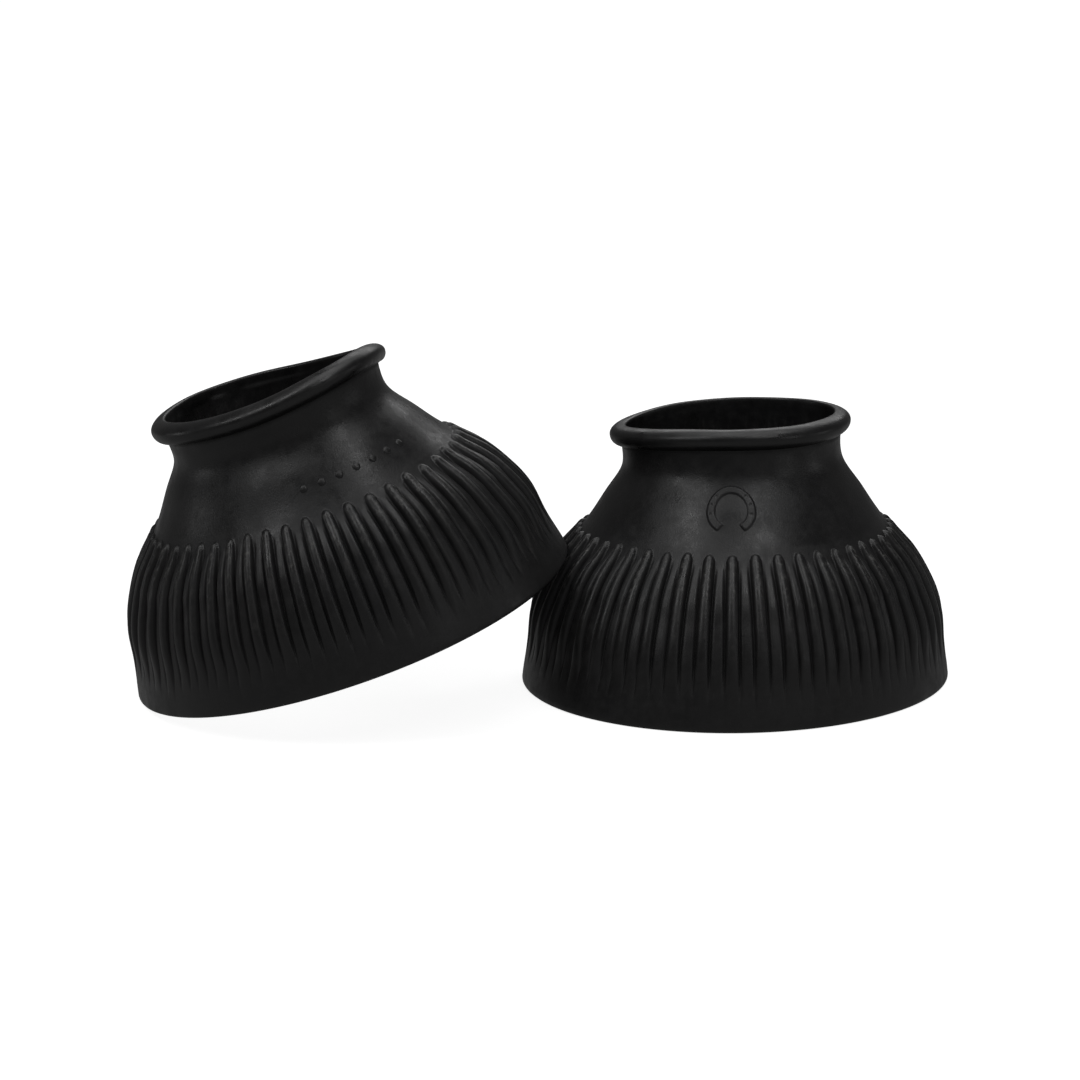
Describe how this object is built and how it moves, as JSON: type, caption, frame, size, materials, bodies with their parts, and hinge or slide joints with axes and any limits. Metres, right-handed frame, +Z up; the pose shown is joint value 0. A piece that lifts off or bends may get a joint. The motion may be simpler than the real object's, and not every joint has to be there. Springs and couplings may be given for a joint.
{
  "type": "bell boots",
  "caption": "Pull-on rubber bell boots with ribbed skirts, flared necks and rolled collars; worn over a horse's hooves to guard the heels.",
  "frame": {"origin": "on the ground, under the middle of the pair's footprint", "axes": "+Z up; +X along the pair, from the leaning boot to the upright boot; +Y away from the side that shows the raised marks"},
  "size_m": [0.3512, 0.2094, 0.1519],
  "materials": {
    "skirt_rubber": "satin black moulded rubber with fine grain",
    "neck_rubber": "satin black moulded rubber, smooth",
    "bead_rubber": "satin black moulded rubber, polished by handling",
    "mark_rubber": "raised mark in the same black rubber"
  },
  "bodies": {
    "upright_boot": {"upright_boot_ribbed_skirt": "skirt_rubber", "upright_boot_neck": "neck_rubber", "upright_boot_collar_bead": "bead_rubber", "upright_boot_horseshoe_relief": "mark_rubber"},
    "leaning_boot": {"leaning_boot_ribbed_skirt": "skirt_rubber", "leaning_boot_neck": "neck_rubber", "leaning_boot_collar_bead": "bead_rubber", "leaning_boot_size_pips": "mark_rubber"}
  },
  "joints": [
    {"name": "leaning_boot_lift", "type": "slide", "parent": "upright_boot", "child": "leaning_boot", "axis": [-0.309, -0.0552, 0.9495], "range_m": [0, 0.15]}
  ]
}
